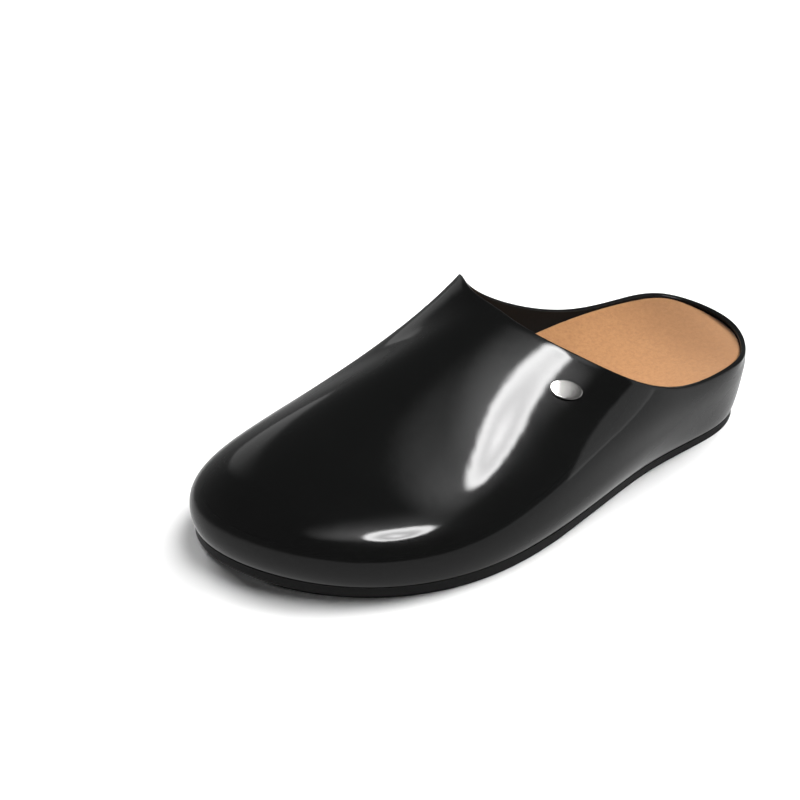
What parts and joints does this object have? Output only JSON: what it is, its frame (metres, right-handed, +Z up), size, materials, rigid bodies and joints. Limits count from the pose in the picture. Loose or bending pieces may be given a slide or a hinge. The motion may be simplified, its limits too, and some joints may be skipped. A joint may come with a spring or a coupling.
{
  "type": "house slipper",
  "caption": "Left house slipper: a backless clog with a closed round toe, a hollow polished leather upper, a suede footbed and a thin flat rubber sole.",
  "frame": {"origin": "middle of the shoe's box in plan, on the floor under the sole", "axes": "-Y points to the toe and +Y to the heel, +X to the outer side of the foot, +Z up"},
  "size_m": [0.1222, 0.2824, 0.089],
  "materials": {
    "upper_leather": "smooth black leather, polished to a high gloss",
    "footbed_suede": "tan suede, matte, with a fine short nap",
    "sole_rubber": "matte black rubber with a plain side",
    "stud_metal": "satin nickel"
  },
  "bodies": {
    "root": {"upper": "upper_leather", "insole": "footbed_suede", "outsole": "sole_rubber", "stud": "stud_metal"}
  },
  "joints": []
}
